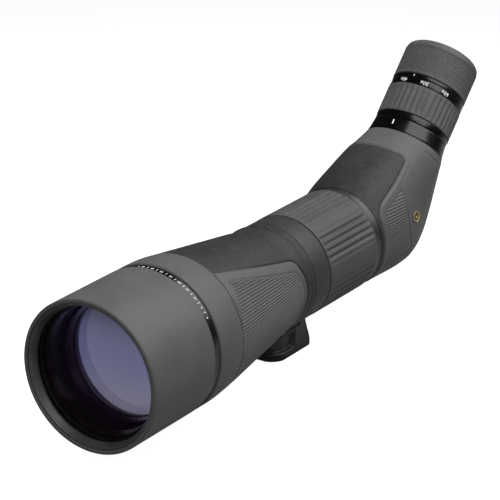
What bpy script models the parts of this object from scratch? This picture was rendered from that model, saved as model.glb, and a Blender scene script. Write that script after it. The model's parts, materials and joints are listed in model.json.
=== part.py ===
"""Angled spotting scope: every piece is its own named object, in metres, +Z up.

The origin lies on the flat underside of the tripod foot, straight below the tube's axis. The objective
looks along -Y, and the eyepiece rises backwards at 45 degrees. Pieces on the straight tube are turned
about the empty tube_axis, and pieces of the eyepiece about the empty eyepiece_axis; on both, local +Z
runs from the front of the scope towards the eye.
"""
from math import copysign, cos, pi, radians, sin

import bmesh
import bpy
from mathutils import Matrix, Vector

MM = 0.001

# Driving dimensions, in millimetres. Distances along the tube count from the sunshade's front edge.
AXIS_HEIGHT = 58.6
FOOT_CENTRE = 210.5
BEND = 334.3
BEND_ANGLE = radians(45)

BODY_R = 51.0
SHADE_LENGTH = 64.2
SHADE_WALL = 3.4
NAME_RING_END = 70.3
ARMOUR_START = 97.3
ARMOUR_END = 200.6
COLLAR_START = 201.1
COLLAR_END = 219.8
FOCUS_START = 220.3
FOCUS_END = 280.1
HOUSING_START = 288.0

COLLAR_R = 36.8
FOCUS_R = 37.1
NECK_R = 32.2
CLEAR_R = 41.6
LENS_R = 42.7

# Distances along the eyepiece count from the bend, where the two axes meet.
SEAT = 58.0
MOUNT_RING_END = 69.0
SKIRT_END = 74.3
ZOOM_END = 97.2
BAND_END = 102.3
INDEX_END = 105.4
CUP_END = 135.2
EYEPIECE_R = 27.9
SEAT_R = 29.6

FOOT_HALF_WIDTH = 13.0
FOOT_FRONT = 190.0
FOOT_REAR = 232.0
FOOT_TOP = 19.8
STEP_TOP = 21.0
FOOT_NOSE_R = 12.4
FLANGE = 5.0
POCKET_DEPTH = 5.5
POCKET_END = 2.4
SOCKET_R = 3.175
SOCKET_OFFSET = -8.0
PIN_OFFSET = 12.0
PRISM_HALF = 17.0
SCREW_X = 8.7
SCREW_Y = 6.3
KNOB_ANGLE = radians(28)

GAP = 0.3
SKIN = 2.3
BIG = 24
SMALL = 16
TINY = 12

COLOURS = {
    "grey_paint": ((0.11, 0.11, 0.11), 0.55, 0.3),
    "dark_paint": ((0.05, 0.05, 0.052), 0.5, 0.3),
    "grey_rubber": ((0.085, 0.085, 0.086), 0.75, 0.0),
    "gloss_black": ((0.008, 0.008, 0.009), 0.18, 0.0),
    "black_metal": ((0.02, 0.02, 0.022), 0.6, 0.6),
    "black_felt": ((0.015, 0.015, 0.015), 0.95, 0.0),
    "glass": ((0.75, 0.78, 0.9), 0.03, 0.0),
    "steel": ((0.45, 0.45, 0.46), 0.35, 1.0),
    "gold": ((0.75, 0.55, 0.22), 0.3, 1.0),
}


def clear_scene():
    """Removes whatever the file holds, so that each run starts the same way."""
    for old in list(bpy.data.objects):
        bpy.data.objects.remove(old, do_unlink=True)


def material(name):
    """One Principled material for each finish, shared by the pieces that have it."""
    found = bpy.data.materials.get(name)
    if found:
        return found
    colour, roughness, metallic = COLOURS[name]
    made = bpy.data.materials.new(name)
    made.use_nodes = True
    shader = made.node_tree.nodes["Principled BSDF"]
    shader.inputs["Base Color"].default_value = (*colour, 1.0)
    shader.inputs["Roughness"].default_value = roughness
    shader.inputs["Metallic"].default_value = metallic
    return made


def empty(name, place, turn):
    """An axis that pieces are parented to; place is in millimetres."""
    made = bpy.data.objects.new(name, None)
    made.location = Vector(place) * MM
    made.rotation_euler = turn
    bpy.context.collection.objects.link(made)
    return made


def finish_piece(name, bm, finish, parent=None, smooth=True):
    """Turns a bmesh in millimetres into an object in metres, with its normals outwards."""
    bmesh.ops.remove_doubles(bm, verts=bm.verts, dist=1e-5)
    bmesh.ops.recalc_face_normals(bm, faces=bm.faces)
    bmesh.ops.scale(bm, vec=(MM, MM, MM), verts=bm.verts)
    mesh = bpy.data.meshes.new(name)
    bm.to_mesh(mesh)
    bm.free()
    if smooth:
        mesh.shade_smooth()
        mesh.set_sharp_from_angle(angle=radians(35))
    made = bpy.data.objects.new(name, mesh)
    made.data.materials.append(material(finish))
    made.parent = parent
    bpy.context.collection.objects.link(made)
    return made


def turned_bmesh(profile, steps):
    """Spins a closed outline of (radius, height) points about local Z."""
    bm = bmesh.new()
    verts = [bm.verts.new((radius, 0.0, height)) for radius, height in profile]
    edges = [bm.edges.new((verts[i - 1], verts[i])) for i in range(len(verts))]
    bmesh.ops.spin(bm, geom=verts + edges, cent=(0, 0, 0), axis=(0, 0, 1), dvec=(0, 0, 0),
                   angle=2 * pi, steps=steps, use_merge=True, use_duplicate=False)
    bmesh.ops.remove_doubles(bm, verts=bm.verts, dist=1e-5)
    return bm


def turned(name, profile, finish, parent, steps=BIG):
    """A turned piece on an axis."""
    return finish_piece(name, turned_bmesh(profile, steps), finish, parent)


def tube(name, inner, outer, start, end, finish, parent, steps=BIG, edge=0.0):
    """A plain ring or sleeve; edge is the width of the chamfers at the ends of its outer side."""
    profile = [(inner, start), (outer - edge, start), (outer, start + edge),
               (outer, end - edge), (outer - edge, end), (inner, end)]
    if edge == 0.0:
        profile = [(inner, start), (outer, start), (outer, end), (inner, end)]
    return turned(name, profile, finish, parent, steps)


def lens(name, radius, start, end, front_bulge, rear_bulge, parent):
    """A lens between two edge heights; a positive bulge is convex on its side."""
    rings = 3
    front = [(radius * i / rings, start - front_bulge * (1 - (i / rings) ** 2)) for i in range(rings + 1)]
    rear = [(radius * i / rings, end + rear_bulge * (1 - (i / rings) ** 2)) for i in range(rings, -1, -1)]
    bm = bmesh.new()
    verts = [bm.verts.new((r, 0.0, h)) for r, h in front + rear]
    edges = [bm.edges.new(pair) for pair in zip(verts, verts[1:])]
    bmesh.ops.spin(bm, geom=verts + edges, cent=(0, 0, 0), axis=(0, 0, 1), dvec=(0, 0, 0),
                   angle=2 * pi, steps=SMALL, use_merge=True, use_duplicate=False)
    return finish_piece(name, bm, "glass", parent)


def prism_bmesh(outline, half_width):
    """Extrudes a closed outline of (y, z) points to both sides of the plane x = 0."""
    bm = bmesh.new()
    face = bm.faces.new([bm.verts.new((-half_width, y, z)) for y, z in outline])
    pulled = bmesh.ops.extrude_face_region(bm, geom=[face])
    moved = [item for item in pulled["geom"] if isinstance(item, bmesh.types.BMVert)]
    bmesh.ops.translate(bm, vec=(2 * half_width, 0, 0), verts=moved)
    return bm


def box_bmesh(low, high):
    """A box between two corners."""
    bm = bmesh.new()
    bmesh.ops.create_cube(bm, size=1.0)
    size = Vector(high) - Vector(low)
    bmesh.ops.scale(bm, vec=size, verts=bm.verts)
    bmesh.ops.translate(bm, vec=(Vector(high) + Vector(low)) / 2, verts=bm.verts)
    return bm


def rod_bmesh(radius, start, end, steps=TINY):
    """A solid rod along local Z."""
    return turned_bmesh([(0, start), (radius, start), (radius, end), (0, end)], steps)


def aim(bm, direction, place=(0, 0, 0)):
    """Turns a bmesh's local Z to a direction and moves its origin to a place."""
    turn = Vector((0, 0, 1)).rotation_difference(Vector(direction)).to_matrix().to_4x4()
    bmesh.ops.transform(bm, matrix=Matrix.Translation(place) @ turn, verts=bm.verts)
    return bm


def boolean(target, operation, name, bm):
    """Joins a shape to a piece or cuts it away, with a guide object that isn't part of the scope."""
    guide = finish_piece(name, bm, "steel", smooth=False)
    guide.hide_render = True
    guide.display_type = 'WIRE'
    step = target.modifiers.new(name, 'BOOLEAN')
    step.operation = operation
    step.solver = 'EXACT'
    step.object = guide
    return guide


def row_y(along_tube):
    """Where a distance along the tube lies on the scope's Y axis."""
    return along_tube - FOOT_CENTRE


def front_radius(along_tube):
    """The bare front of the barrel: a cylinder that rounds over into the taper."""
    rounding = 78.0
    return BODY_R - 0.1 - 0.0044 * max(0.0, along_tube - rounding) ** 2


def skin_line(inset, first, last):
    """The taper under or over the rubber armour, as (radius, height) points, set in by a distance."""
    taper_end, blend_end, rear_r = 181.0, 190.0, FOCUS_R
    slope = (front_radius(ARMOUR_START) - rear_r - 0.7) / (taper_end - ARMOUR_START)
    heights = [first, 125.0, 153.0, taper_end]
    line = [(front_radius(ARMOUR_START) - slope * (h - ARMOUR_START) - inset, h) for h in heights]
    return line + [(rear_r - inset, blend_end), (rear_r - inset, last)]


# Axes

clear_scene()
tube_axis = empty("tube_axis", (0, row_y(0), AXIS_HEIGHT), (-pi / 2, 0, 0))
eyepiece_axis = empty("eyepiece_axis", (0, row_y(BEND), AXIS_HEIGHT), (-BEND_ANGLE, 0, 0))
knob_direction = Vector((-cos(KNOB_ANGLE), 0, -sin(KNOB_ANGLE)))
knob_turn = Vector((0, 0, 1)).rotation_difference(knob_direction).to_euler()
knob_axis = empty("knob_axis", (0, 0, AXIS_HEIGHT), knob_turn)


# Collar and foot: the pieces that stay on the tripod

def make_collar():
    """The ring that the scope turns in, with a pad for the foot and a boss for the lock screw."""
    ring = turned("collar_ring", [(0, COLLAR_START), (COLLAR_R - 0.5, COLLAR_START),
                                  (COLLAR_R, COLLAR_START + 0.5), (COLLAR_R, COLLAR_END - 0.5),
                                  (COLLAR_R - 0.5, COLLAR_END), (0, COLLAR_END)], "dark_paint", tube_axis)
    pad_half = 12.5
    low = (-pad_half, row_y(COLLAR_START) + 0.8, FOOT_TOP + GAP)
    high = (pad_half, row_y(COLLAR_END) - 0.8, AXIS_HEIGHT - 30.0)
    boolean(ring, 'UNION', "pad_guide", box_bmesh(low, high))
    boss = aim(rod_bmesh(7.2, 30.0, 40.2, SMALL), knob_direction, (0, 0, AXIS_HEIGHT))
    boolean(ring, 'UNION', "boss_guide", boss)
    hollow = aim(rod_bmesh(34.3, COLLAR_START - 1, COLLAR_END + 1, BIG), (0, 1, 0),
                 (0, row_y(0), AXIS_HEIGHT))
    boolean(ring, 'DIFFERENCE', "collar_bore_guide", hollow)
    thread = aim(rod_bmesh(2.7, 30.0, 45.0), knob_direction, (0, 0, AXIS_HEIGHT))
    boolean(ring, 'DIFFERENCE', "lock_thread_guide", thread)
    for side in (-1, 1):
        hole = rod_bmesh(1.7, FOOT_TOP - 1, AXIS_HEIGHT - 35.6)
        bmesh.ops.translate(hole, vec=(side * SCREW_X, SCREW_Y, 0), verts=hole.verts)
        boolean(ring, 'DIFFERENCE', f"pad_hole_guide_{side}", hole)
    tube("collar_liner", 33.0, 33.8, COLLAR_START + 1.5, COLLAR_END - 1.5, "black_felt", tube_axis)


def arc(centre, radius, start, end, steps=6):
    """Points on an arc between two angles in degrees."""
    angles = [radians(start + (end - start) * i / steps) for i in range(steps + 1)]
    return [(centre[0] + radius * cos(angle), centre[1] + radius * sin(angle)) for angle in angles]


def foot_outline():
    """The foot's side view: a flat base, a hollowed back, a step up behind the collar and a sloping nose."""
    front = row_y(FOOT_FRONT)
    rear = row_y(FOOT_REAR)
    step_front = row_y(COLLAR_END) + 0.6
    pad_front = row_y(COLLAR_START) - 1.5
    return [(front, 0), (rear - 0.7, 0), (rear, 0.8), (rear - 0.1, 5.7), (rear - 1.0, 8.6), (rear - 1.9, 11.0),
            (rear - 3.6, 15.2), (rear - 4.8, 18.6), (rear - 5.6, STEP_TOP),
            (step_front, STEP_TOP), (step_front, FOOT_TOP), (pad_front, FOOT_TOP),
            (pad_front - 4.5, 16.4), (front + 1.2, 15.2), (front, 13.5)]


def make_foot():
    """The foot with its side pockets, screw holes, tripod socket and the hole of the anti-twist pin."""
    foot = finish_piece("mounting_foot", prism_bmesh(foot_outline(), FOOT_HALF_WIDTH), "gloss_black",
                        smooth=False)
    front = row_y(FOOT_FRONT)
    corner = 6.0
    before = front - 5
    pocket_line = [(before, FLANGE)] + arc((POCKET_END - corner, FLANGE + corner), corner, -90, 0)
    pocket_line += [(POCKET_END, FOOT_TOP - 2.6), (before, FOOT_TOP - 2.6)]
    for side in (-1, 1):
        edge = side * FOOT_HALF_WIDTH
        pocket = prism_bmesh(pocket_line, POCKET_DEPTH)
        bmesh.ops.translate(pocket, vec=(edge, 0, 0), verts=pocket.verts)
        boolean(foot, 'DIFFERENCE', f"pocket_guide_{side}", pocket)
        post = box_bmesh((edge - FOOT_NOSE_R, front - 1, -5), (edge + FOOT_NOSE_R, front + FOOT_NOSE_R, 25))
        rod = rod_bmesh(FOOT_NOSE_R, -6, 26, BIG)
        bmesh.ops.translate(rod, vec=(edge - side * FOOT_NOSE_R, front + FOOT_NOSE_R, 0), verts=rod.verts)
        nose = boolean(foot, 'DIFFERENCE', f"nose_guide_{side}", post)
        boolean(nose, 'DIFFERENCE', f"nose_round_guide_{side}", rod)
        for label, radius, top in (("bore", 1.8, 30), ("head", 3.1, 4.8)):
            hole = rod_bmesh(radius, -5, top)
            bmesh.ops.translate(hole, vec=(side * SCREW_X, SCREW_Y, 0), verts=hole.verts)
            boolean(foot, 'DIFFERENCE', f"screw_{label}_guide_{side}", hole)
    socket = rod_bmesh(SOCKET_R + 2.1, -5, 12.0, SMALL)
    bmesh.ops.translate(socket, vec=(0, SOCKET_OFFSET, 0), verts=socket.verts)
    boolean(foot, 'DIFFERENCE', "socket_guide", socket)
    pin = rod_bmesh(1.6, -5, 5.5)
    bmesh.ops.translate(pin, vec=(0, PIN_OFFSET, 0), verts=pin.verts)
    boolean(foot, 'DIFFERENCE', "pin_hole_guide", pin)
    step = foot.modifiers.new("softened_edges", 'BEVEL')
    step.width = 0.5 * MM
    step.segments = 1
    step.limit_method = 'ANGLE'
    step.angle_limit = radians(50)
    foot.modifiers.move(len(foot.modifiers) - 1, 0)


def make_foot_fittings():
    """The threaded insert for the tripod screw, and the two screws that hold the foot to the collar."""
    insert = turned("tripod_insert", [(SOCKET_R, 0.3), (SOCKET_R + 1.8, 0.3), (SOCKET_R + 1.8, 11.5),
                                      (SOCKET_R, 11.5)], "steel", None, SMALL)
    insert.location = (0, SOCKET_OFFSET * MM, 0)
    shape = [(0, 1.0), (2.7, 1.0), (2.7, 4.4), (1.35, 4.4), (1.35, 22.6), (0, 22.6)]
    for label, side in (("left", -1), ("right", 1)):
        screw = turned(f"foot_screw_{label}", shape, "steel", None, TINY)
        screw.location = (side * SCREW_X * MM, SCREW_Y * MM, 0)


def make_lock():
    """The knob on the far side, and the screw that it turns against the collar's liner."""
    lobes = []
    for i in range(2 * TINY):
        angle = 2 * pi * i / (2 * TINY)
        radius = 8.2 + 0.5 * cos(6 * angle)
        lobes.append((radius * cos(angle), radius * sin(angle), 43.2))
    bm = bmesh.new()
    face = bm.faces.new([bm.verts.new(point) for point in lobes])
    pulled = bmesh.ops.extrude_face_region(bm, geom=[face])
    moved = [item for item in pulled["geom"] if isinstance(item, bmesh.types.BMVert)]
    bmesh.ops.translate(bm, vec=(0, 0, 8.0), verts=moved)
    knob = finish_piece("lock_knob", bm, "gloss_black", knob_axis)
    bore = aim(rod_bmesh(2.6, 38.0, 48.5), knob_direction, (0, 0, AXIS_HEIGHT))
    boolean(knob, 'DIFFERENCE', "knob_bore_guide", bore)
    turned("lock_screw", [(0, 34.5), (2.0, 34.5), (2.0, 40.6), (4.2, 40.6), (4.2, 42.8), (2.0, 42.8),
                          (2.0, 48.0), (0, 48.0)], "steel", knob_axis, TINY)


make_collar()
make_foot()
make_foot_fittings()
make_lock()


# Sunshade: slides forward over the objective cell

def make_sunshade():
    """The outer shell, the bevelled ring inside its front edge, and the felt ring it slides on."""
    bore = BODY_R - SHADE_WALL
    turned("sunshade_shell", [(bore, 1.3), (bore + 1.0, 0.2), (bore + 1.7, 0), (BODY_R - 0.8, 0),
                              (BODY_R, 0.9), (BODY_R, SHADE_LENGTH), (bore, SHADE_LENGTH)],
           "grey_paint", tube_axis)
    turned("sunshade_trim_ring", [(bore - 0.4, 2.2), (bore - 0.4, 7.4), (44.6, 7.4), (44.6, 6.4)],
           "black_metal", tube_axis)
    tube("sunshade_guide_ring", 46.75, 47.05, 57.0, 62.5, "black_felt", tube_axis)


make_sunshade()


# Objective: the cell with its two elements, held by a ring

def make_objective():
    """The cell that carries the front lens, and the lens in two elements with a spacer between."""
    turned("objective_cell", [(44.6, 9.0), (46.2, 9.0), (46.2, 78.0), (43.4, 78.0), (43.4, 46.5), (41.2, 46.5),
                              (41.2, 44.0), (43.2, 44.0), (43.2, 14.0), (44.6, 14.0)], "black_metal", tube_axis)
    turned("objective_retainer", [(42.8, 16.0), (42.8, 19.5), (CLEAR_R, 19.5), (42.2, 16.0)], "gloss_black",
           tube_axis)
    lens("objective_front_element", LENS_R, 24.2, 31.0, 3.6, 2.6, tube_axis)
    tube("objective_spacer", 41.4, LENS_R, 31.4, 35.3, "black_metal", tube_axis)
    lens("objective_rear_element", LENS_R, 35.7, 43.6, -1.6, 1.0, tube_axis)


def make_barrel():
    """The metal barrel: bare in front, under the rubber armour behind, with a neck for the collar."""
    wall = 2.4
    shoulder = ARMOUR_END - 0.5
    neck_end = FOCUS_START + 3.0
    step = SKIN + GAP
    bare = [(front_radius(h), h) for h in (NAME_RING_END + 1.2, 78, 84, 90, ARMOUR_START - GAP)]
    covered = skin_line(step, ARMOUR_START + GAP, shoulder)
    bore = skin_line(step + wall, ARMOUR_START, shoulder - 3.0)
    outline = [(BODY_R - 0.9, NAME_RING_END + GAP)] + bare + [(bare[-1][0] - step, bare[-1][1])] + covered
    outline += [(NECK_R, shoulder), (NECK_R, neck_end), (NECK_R - 3.0, neck_end), (NECK_R - 3.0, shoulder - 3.0)]
    outline += bore[-1::-1] + [(46.6, 79.0), (46.6, NAME_RING_END + GAP)]
    turned("front_barrel", outline, "grey_paint", tube_axis)
    tube("name_ring", 46.6, BODY_R - 1.1, SHADE_LENGTH + GAP, NAME_RING_END, "gloss_black", tube_axis,
         edge=0.3)
    outside = skin_line(0, ARMOUR_START, ARMOUR_END)
    inside = skin_line(SKIN, ARMOUR_START, ARMOUR_END)
    turned("barrel_armour", outside + inside[::-1], "grey_rubber", tube_axis)
    for label, height, opening in (("front", 125.0, 38.0), ("rear", 153.0, 31.0)):
        edge = [r for r, h in bore if h == height][0] - 0.4
        tube(f"{label}_baffle", opening, edge, height - 0.5, height + 0.3, "black_metal", tube_axis)
    tube("collar_retaining_ring", 32.6, 34.6, COLLAR_END + 0.8, FOCUS_START + 2.4, "black_metal", tube_axis)


make_objective()
make_barrel()


# Focusing: the ring turns on a fixed tube and draws the focusing lens along inside it

FOCUS_LENS_AT = 250.0


def make_focus():
    """The rubber-covered ring, its metal core, the slotted tube under it, and the moving lens."""
    end = FOCUS_END + 6.0
    focus_tube = tube("focus_tube", NECK_R - 3.0, NECK_R, FOCUS_START + 3.4, end, "black_metal", tube_axis)
    slot = box_bmesh((-1.9, row_y(FOCUS_LENS_AT) - 11.5, AXIS_HEIGHT + 26),
                     (1.9, row_y(FOCUS_LENS_AT) + 11.5, AXIS_HEIGHT + 36))
    boolean(focus_tube, 'DIFFERENCE', "slot_guide", slot)
    tube("focus_grip", 35.3, FOCUS_R, FOCUS_START, FOCUS_END, "grey_rubber", tube_axis, edge=0.5)
    tube("focus_ring_core", 33.0, 34.8, FOCUS_START + 4.8, FOCUS_END - 1.2, "black_metal", tube_axis)
    tube("focus_seal_front", 32.7, 34.4, FOCUS_START + 2.8, FOCUS_START + 4.4, "black_felt", tube_axis)
    tube("focus_seal_rear", 32.7, 34.4, FOCUS_END - 0.8, FOCUS_END + 0.8, "black_felt", tube_axis)
    tube("neck_ring", 32.7, 36.0, FOCUS_END + 1.2, HOUSING_START - GAP, "dark_paint", tube_axis)
    cell_half = 9.0
    tube("focus_cell", 20.0, 28.5, FOCUS_LENS_AT - cell_half, FOCUS_LENS_AT + cell_half, "black_metal",
         tube_axis, SMALL)
    lens("focus_lens", 19.5, FOCUS_LENS_AT - 4.5, FOCUS_LENS_AT + 4.5, -2.4, -2.0, tube_axis)
    pin = aim(rod_bmesh(1.5, 28.9, 32.4), (0, 0, 1), (0, row_y(FOCUS_LENS_AT), AXIS_HEIGHT))
    finish_piece("focus_drive_pin", pin, "steel")


make_focus()


# Prism housing: a loft from the straight tube to the eyepiece's seat

def along_eyepiece(distance, rise):
    """A point of the scope's middle plane: so far along the eyepiece, and so far above its axis."""
    y = BEND + distance * cos(BEND_ANGLE) - rise * sin(BEND_ANGLE)
    z = distance * sin(BEND_ANGLE) + rise * cos(BEND_ANGLE)
    return y, z


TOP_LINE = [(HOUSING_START, 38.3), (297, 42.0), (306, 45.4), (316, 48.9), (326, 52.3), (336, 55.7), (345, 58.6),
            along_eyepiece(SEAT, SEAT_R)]
BOTTOM_LINE = [(HOUSING_START, -36.6), (308, -36.6), (331, -36.5), (347.5, -34.2), (360, -25.2), (371.8, -9.6),
               (384, 6.0), along_eyepiece(SEAT, -SEAT_R)]
HALF_WIDTHS = [36.7, 36.8, 36.7, 36.4, 35.6, 34.2, 32.2, SEAT_R]
SQUARENESS = [2.0, 2.2, 2.35, 2.4, 2.4, 2.3, 2.1, 2.0]


def section(index, inset):
    """One cross-section: |x / a|^n + |y / b|^n = 1, an ellipse that grows squarer with n, set in evenly."""
    top = Vector((0, row_y(TOP_LINE[index][0]), TOP_LINE[index][1] + AXIS_HEIGHT))
    bottom = Vector((0, row_y(BOTTOM_LINE[index][0]), BOTTOM_LINE[index][1] + AXIS_HEIGHT))
    centre = (top + bottom) / 2
    up = (top - bottom) / 2
    up *= 1 - inset / up.length
    width = HALF_WIDTHS[index] - inset
    power = 2 / SQUARENESS[index]
    points = []
    for i in range(SMALL):
        angle = 2 * pi * i / SMALL
        rise = copysign(abs(cos(angle)) ** power, cos(angle))
        reach = copysign(abs(sin(angle)) ** power, sin(angle))
        points.append(centre + up * rise + Vector((width * reach, 0, 0)))
    return points


def loft_shell(name, outer_inset, inner_inset, finish):
    """A wall between two lofts, open at both ends."""
    bm = bmesh.new()
    order = [(i, outer_inset) for i in range(len(TOP_LINE))]
    order += [(i, inner_inset) for i in reversed(range(len(TOP_LINE)))]
    loops = [[bm.verts.new(point) for point in section(index, inset)] for index, inset in order]
    for first, second in zip(loops, loops[1:] + loops[:1]):
        for i in range(SMALL):
            bm.faces.new((first[i - 1], first[i], second[i], second[i - 1]))
    return finish_piece(name, bm, finish)


def in_row(points):
    """Points of the middle plane, moved from the tube's own measures to the scope's axes."""
    return [(row_y(y), z + AXIS_HEIGHT) for y, z in points]


def make_housing():
    """The casting and its rubber skin, the two prisms in their tray, the gas plug and the badge."""
    loft_shell("housing_armour", 0.0, 2.2, "grey_rubber")
    loft_shell("prism_housing", 2.9, 5.4, "black_metal")
    exit_top = along_eyepiece(24, 16)
    exit_bottom = along_eyepiece(24, -16)
    helper = [(299, 19), (299, -19), (316, -19), (331, 19)]
    roof = [(332.2, 18.5), (317.4, -19), (345, -19), exit_bottom, exit_top]
    finish_piece("helper_prism", prism_bmesh(in_row(helper), PRISM_HALF), "glass", smooth=False)
    finish_piece("roof_prism", prism_bmesh(in_row(roof), PRISM_HALF), "glass", smooth=False)
    tray = prism_bmesh(in_row([(302, 6), (302, -21.6), (334, -21.6), (334, 6)]), PRISM_HALF + 2.6)
    tray_piece = finish_piece("prism_tray", tray, "black_metal", smooth=False)
    room = prism_bmesh(in_row([(290, 15), (290, -19.5), (350, -19.5), (350, 15)]), PRISM_HALF + 0.6)
    boolean(tray_piece, 'DIFFERENCE', "tray_guide", room)
    for label, along in (("front", 309), ("rear", 327)):
        screw = finish_piece(f"prism_screw_{label}", rod_bmesh(2.2, 0, 1.6), "steel")
        screw.location = (0, row_y(along) * MM, (AXIS_HEIGHT - 23.6) * MM)
    plug = aim(turned_bmesh([(0, 0), (3.4, 0), (3.0, 0.9), (0, 0.9)], TINY), (0, 0, -1),
               (0, row_y(318), AXIS_HEIGHT - 36.7))
    finish_piece("gas_plug", plug, "black_metal")
    badge = aim(turned_bmesh([(0, 0), (4.2, 0), (4.2, 0.7), (0, 0.7)], SMALL), (1, 0, 0.12),
                (36.4, row_y(333.2), AXIS_HEIGHT + 9.3))
    finish_piece("side_badge", badge, "gold")


make_housing()


# Eyepiece: fixed pieces

def make_eyepiece():
    """The two black rings, the inner tube, the index ring, and the eye lens in its cell."""
    turned("eyepiece_mount_ring", [(24.6, SEAT + GAP), (SEAT_R - 0.4, SEAT + GAP), (SEAT_R - 0.2, SEAT + 0.9),
                                   (28.4, SEAT + 5), (27.7, MOUNT_RING_END), (24.6, MOUNT_RING_END)],
           "gloss_black", eyepiece_axis)
    tube("eyepiece_skirt_ring", 24.6, 27.5, MOUNT_RING_END + GAP, SKIRT_END, "gloss_black", eyepiece_axis,
         edge=0.3)
    turned("eyepiece_tube", [(20.4, 46), (23.8, 46), (23.8, SKIRT_END - 0.2), (22.4, SKIRT_END - 0.2),
                             (22.4, INDEX_END - 0.2), (20.4, INDEX_END - 0.2)], "black_metal", eyepiece_axis, SMALL)
    tube("field_stop", 10.0, 19.9, 73.0, 74.2, "black_metal", eyepiece_axis, SMALL)
    tube("index_ring", 22.8, EYEPIECE_R - 0.3, BAND_END + GAP, INDEX_END, "gloss_black",
         eyepiece_axis, edge=0.3)
    turned("ocular_cell", [(18.7, INDEX_END + 0.3), (21.6, INDEX_END + 0.3), (21.6, 130.0), (18.7, 130.0)],
           "black_metal", eyepiece_axis, SMALL)
    lens("eye_lens", 18.2, 117.5, 125.0, 1.2, 2.0, eyepiece_axis)
    turned("eye_lens_retainer", [(18.2, 127.3), (18.2, 130.2), (17.2, 130.2), (15.6, 127.3)], "gloss_black",
           eyepiece_axis, SMALL)


def make_zoom():
    """The turning grip, the numbered band and the cam tube, with the two lens cells they drive."""
    tube("zoom_grip", 24.9, EYEPIECE_R, SKIRT_END + GAP, ZOOM_END, "grey_rubber", eyepiece_axis, edge=0.4)
    tube("number_band", 24.9, EYEPIECE_R - 0.2, ZOOM_END + GAP, BAND_END, "gloss_black", eyepiece_axis,
         edge=0.3)
    tube("zoom_cam_tube", 23.0, 24.2, SKIRT_END + GAP, BAND_END - 0.1, "black_metal", eyepiece_axis, SMALL)
    for label, start, end in (("front", 56.0, 65.5), ("rear", 80.0, 88.5)):
        tube(f"{label}_zoom_cell", 14.6, 19.8, start, end, "black_metal", eyepiece_axis, SMALL)
        lens(f"{label}_zoom_lens", 14.2, start + 2.5, end - 2.5, 1.2, 1.2, eyepiece_axis)


def make_eyecup():
    """The threaded ring, and the sleeve with its rubber cup that rises as it turns."""
    tube("eyecup_cam_ring", 22.3, 23.4, INDEX_END + 0.6, 124.0, "black_metal", eyepiece_axis, SMALL)
    tube("eyecup_sleeve", 24.0, 25.3, INDEX_END + 0.8, CUP_END - 5.0, "black_metal", eyepiece_axis, SMALL)
    turned("rubber_eyecup", [(25.8, INDEX_END + 0.4), (EYEPIECE_R, INDEX_END + 0.4), (EYEPIECE_R, CUP_END - 5.4),
                             (27.2, CUP_END - 2.0), (25.2, CUP_END), (21.6, CUP_END), (20.6, CUP_END - 1.0),
                             (20.6, CUP_END - 4.0), (25.8, CUP_END - 4.0)], "grey_rubber", eyepiece_axis)


make_eyepiece()
make_zoom()
make_eyecup()
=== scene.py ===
# %% [markdown]
# # An angled spotting scope, dressed in fine surfaces
# The scope comes in as a fixed frame of plain solids: they carry its sizes and the way it moves. This lesson
# lays fine surfaces over them. Nearly every piece is round, so most of the work is one idea used again and
# again: an outline is turned about an axis, and a relief (ribs, grooves, knurls) is added to its radius.

# %% Load the frame
import json
from math import cos, pi, radians

import bpy
import numpy as np
from mathutils import Matrix, Vector


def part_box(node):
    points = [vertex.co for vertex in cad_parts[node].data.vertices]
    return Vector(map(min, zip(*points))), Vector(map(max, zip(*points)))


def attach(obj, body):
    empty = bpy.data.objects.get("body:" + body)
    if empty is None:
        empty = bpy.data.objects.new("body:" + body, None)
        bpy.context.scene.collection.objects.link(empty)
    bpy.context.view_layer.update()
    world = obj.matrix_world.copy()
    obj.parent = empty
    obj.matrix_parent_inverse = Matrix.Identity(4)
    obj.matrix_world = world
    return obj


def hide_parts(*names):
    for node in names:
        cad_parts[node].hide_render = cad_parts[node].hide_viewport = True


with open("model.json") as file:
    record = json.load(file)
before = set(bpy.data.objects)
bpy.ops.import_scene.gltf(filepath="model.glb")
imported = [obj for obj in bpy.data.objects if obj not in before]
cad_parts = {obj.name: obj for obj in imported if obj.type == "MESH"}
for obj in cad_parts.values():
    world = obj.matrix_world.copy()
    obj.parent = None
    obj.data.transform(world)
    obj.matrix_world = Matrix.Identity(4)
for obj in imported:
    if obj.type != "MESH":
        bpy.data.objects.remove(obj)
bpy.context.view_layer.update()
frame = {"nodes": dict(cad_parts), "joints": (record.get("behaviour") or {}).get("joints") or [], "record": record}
print("pieces in the frame:", len(frame["nodes"]))

# %% [markdown]
# All sizes are in millimetres, as a maker would note them, and are turned into metres at the very end.
# Two axes matter. The tube's axis runs along Y at the height of the focusing ring's middle. The eyepiece's
# axis is the one that the zoom ring turns on. Both places are read from the frame.

# %% The two axes
MM = 0.001


def span(node):
    """The lowest and highest corner of a CAD node, in millimetres."""
    low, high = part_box(node)
    return np.array(low) / MM, np.array(high) / MM


zoom_joint = [joint for joint in frame["joints"] if joint["name"] == "zoom_turn"][0]
RIM_Y = span("sunshade_shell")[0][1]
BEND_POINT = np.array(zoom_joint["pos_m"]) / MM
SIDE = np.array([1.0, 0.0, 0.0])
EYE_WAY = np.array(zoom_joint["axis"]) / np.linalg.norm(zoom_joint["axis"])
TUBE = {"base": np.array([0.0, RIM_Y, BEND_POINT[2]]), "way": np.array([0.0, 1.0, 0.0]),
        "up": np.array([0.0, 0.0, 1.0]), "side": SIDE}
EYE = {"base": BEND_POINT, "way": EYE_WAY, "up": np.cross(SIDE, EYE_WAY), "side": SIDE}
print("tube starts at", TUBE["base"], "and the eyepiece at", EYE["base"])


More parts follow.
